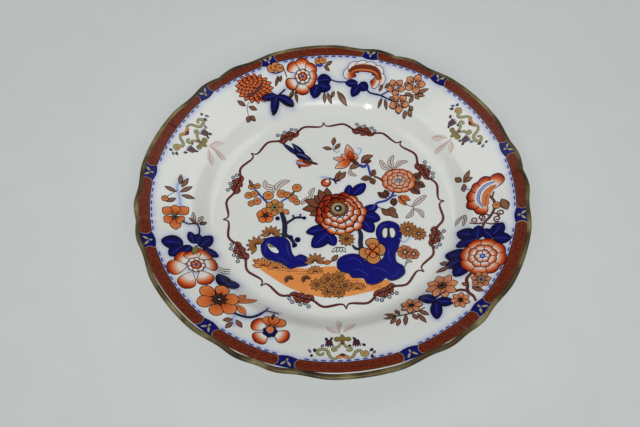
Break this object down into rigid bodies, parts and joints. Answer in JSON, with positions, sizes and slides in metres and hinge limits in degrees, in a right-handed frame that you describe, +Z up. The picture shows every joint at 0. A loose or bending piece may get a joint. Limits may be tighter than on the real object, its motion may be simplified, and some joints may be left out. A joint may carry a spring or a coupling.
{
  "type": "china dinner plate",
  "caption": "Round china dinner plate with a lobed gilt rim, a panelled border, flower sprays round the rim and a garden medallion in the well.",
  "frame": {"origin": "centre of the foot ring on the surface the plate rests on", "axes": "+Z up out of the well, +Y towards the top of the painted scene, +X to its right"},
  "size_m": [0.261, 0.261, 0.0273],
  "materials": {
    "glazed_body": "clear glossy glaze over white earthenware",
    "gilding": "worn olive gold gilding",
    "panel_red": "glossy brown red enamel with a fine stipple",
    "cobalt": "glossy cobalt blue under the glaze",
    "maroon": "glossy printed line",
    "orange": "glossy orange enamel",
    "iron_red": "glossy iron red enamel"
  },
  "bodies": {
    "root": {"plate_body": "glazed_body", "gilt_edge": "gilding", "red_panels": "panel_red", "cobalt_cartouches": "cobalt", "gilt_brackets": "gilding", "medallion_line": "maroon", "orange_ground": "orange", "cobalt_rocks": "cobalt", "medallion_leaves": "cobalt", "rim_leaves": "cobalt", "iron_red_flowers": "iron_red", "orange_flowers": "orange", "gilt_scrolls": "gilding"}
  },
  "joints": []
}
